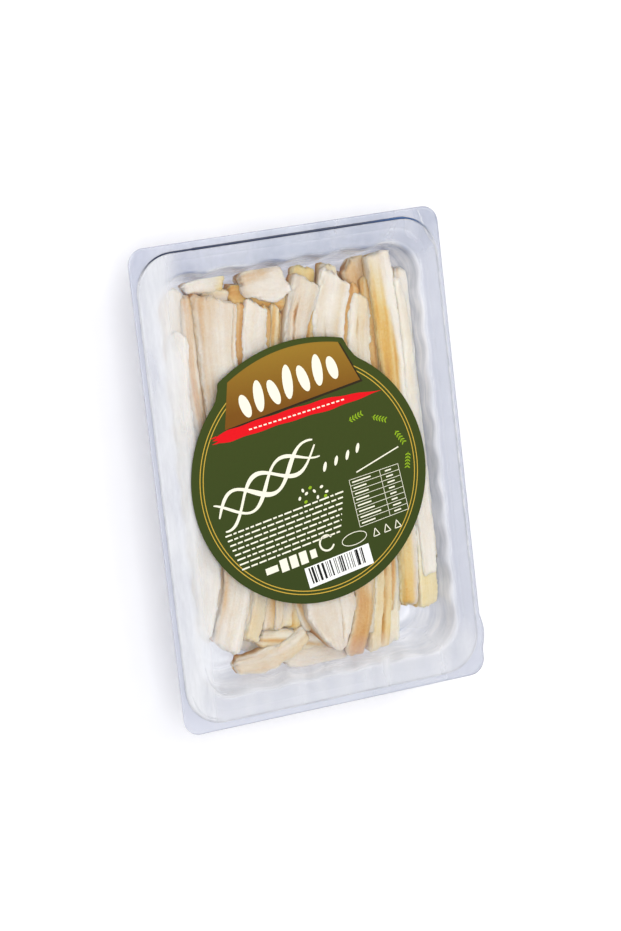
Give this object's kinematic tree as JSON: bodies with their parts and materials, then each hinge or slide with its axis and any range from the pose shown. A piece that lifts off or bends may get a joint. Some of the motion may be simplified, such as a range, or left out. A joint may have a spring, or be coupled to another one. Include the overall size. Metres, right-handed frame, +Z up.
{
  "type": "pack of string cheese strips",
  "caption": "Sealed clear tray of pulled string cheese strips with a round lobed label on its top film.",
  "frame": {"origin": "on the surface that the pack lies on, under the middle of its bounding box", "axes": "+X across the pack, +Y along it to the head, where the label's lobe is, +Z up from the tray's base to the label"},
  "size_m": [0.1313, 0.188, 0.028],
  "materials": {
    "tray": "clear glossy plastic",
    "film": "clear glossy film",
    "label": "satin printed label",
    "cheese": "soft and slightly moist"
  },
  "bodies": {
    "root": {"tray": "tray", "film": "film", "label": "label", "strip_01": "cheese", "strip_02": "cheese", "strip_03": "cheese", "strip_04": "cheese", "strip_05": "cheese", "strip_06": "cheese", "strip_07": "cheese", "strip_08": "cheese", "strip_09": "cheese", "strip_10": "cheese", "strip_11": "cheese", "strip_12": "cheese", "strip_13": "cheese", "strip_14": "cheese", "strip_15": "cheese", "strip_16": "cheese", "strip_17": "cheese", "strip_18": "cheese", "strip_19": "cheese", "strip_20": "cheese", "strip_21": "cheese", "strip_22": "cheese", "strip_23": "cheese", "strip_24": "cheese", "strip_25": "cheese"}
  },
  "joints": []
}
